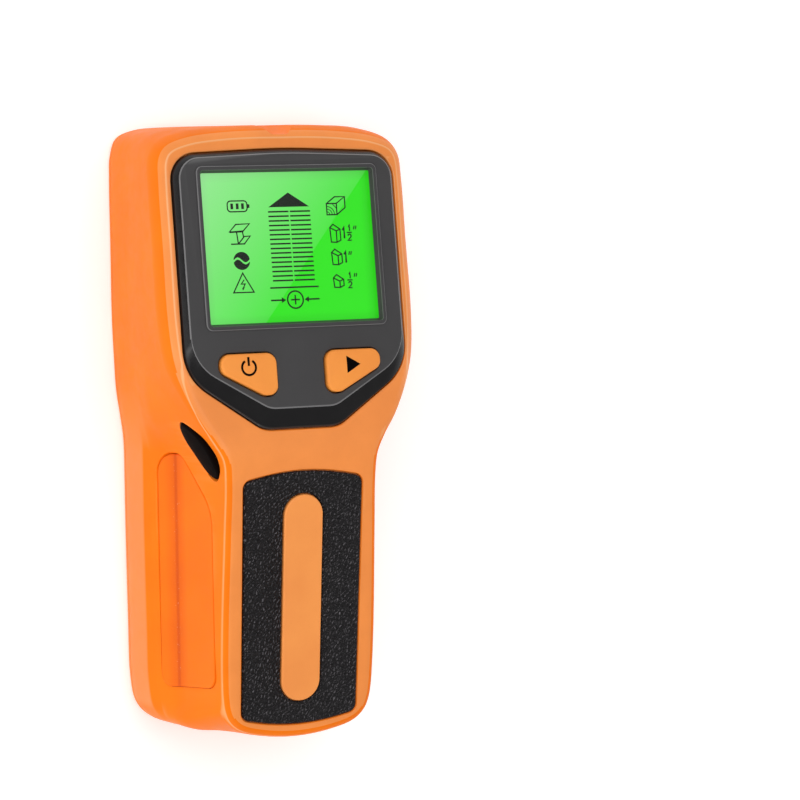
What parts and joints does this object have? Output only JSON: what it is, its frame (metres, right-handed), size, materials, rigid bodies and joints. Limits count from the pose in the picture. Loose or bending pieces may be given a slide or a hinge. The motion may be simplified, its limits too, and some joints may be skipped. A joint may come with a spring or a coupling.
{
  "type": "stud finder",
  "caption": "Handheld wall scanner with a wide sensing head, tilted backlit display, two face keys, a side key, a waisted handle with grips and a sliding battery door.",
  "frame": {"origin": "centre of the flat back's footprint, with the tool lying on its back", "axes": "+X to the right seen from the display side, +Y towards the sensing head, +Z out of the display"},
  "size_m": [0.073, 0.1606, 0.0471],
  "materials": {
    "housing_orange": "smooth satin moulded plastic",
    "grip_orange": "soft matt overmould with a fine grain",
    "key_orange": "satin moulded plastic",
    "grip_black": "black rubber with a leather grain",
    "bezel_grey": "dark grey satin plastic",
    "window_clear": "clear glossy window",
    "screen_green": "backlit green liquid crystal panel",
    "inner_white": "plain white moulding",
    "inner_black": "plain black moulding",
    "board_green": "solder-masked glass fibre board",
    "copper": "enamelled copper winding",
    "lead_red": "red wire insulation",
    "screw_steel": "zinc-plated steel"
  },
  "bodies": {
    "housing": {"front_shell": "housing_orange", "rear_shell": "housing_orange", "left_side_grip": "grip_orange", "right_side_grip": "grip_orange", "grip_pad": "grip_black", "name_plate": "key_orange", "display_bezel": "bezel_grey", "display_window": "window_clear", "lcd_panel": "screen_green", "lcd_backlight": "inner_white", "lcd_holder": "inner_white", "power_switch": "inner_black", "mode_switch": "inner_black", "scan_switch": "inner_black", "side_board": "board_green", "main_board": "board_green", "sensor_board": "board_green", "board_cable": "inner_white", "processor": "inner_black", "buzzer": "inner_black", "metal_coil": "copper", "coil_former": "inner_white", "battery": "inner_black", "snap_connector": "inner_black", "red_lead": "lead_red", "black_lead": "inner_black", "board_screw_lower_left": "screw_steel", "board_screw_lower_right": "screw_steel", "board_screw_upper_left": "screw_steel", "board_screw_upper_right": "screw_steel", "rear_screw_head_left": "screw_steel", "rear_screw_head_right": "screw_steel", "rear_screw_handle_left": "screw_steel", "rear_screw_handle_right": "screw_steel"},
    "power_key": {"power_key": "key_orange"},
    "mode_key": {"mode_key": "key_orange"},
    "scan_key": {"scan_key": "grip_black"},
    "battery_door": {"battery_door": "housing_orange"}
  },
  "joints": [
    {"name": "power_press", "type": "slide", "parent": "housing", "child": "power_key", "axis": [0, -0.1289, -0.9917], "range_m": [0, 0.001], "stiffness_N_per_m": 2000},
    {"name": "mode_press", "type": "slide", "parent": "housing", "child": "mode_key", "axis": [0, -0.1289, -0.9917], "range_m": [0, 0.001], "stiffness_N_per_m": 2000},
    {"name": "scan_press", "type": "slide", "parent": "housing", "child": "scan_key", "axis": [0.8912, 0.4205, -0.1702], "range_m": [0, 0.0008], "stiffness_N_per_m": 2000},
    {"name": "door_slide", "type": "slide", "parent": "housing", "child": "battery_door", "axis": [0, -1, 0], "range_m": [0, 0.06]}
  ]
}
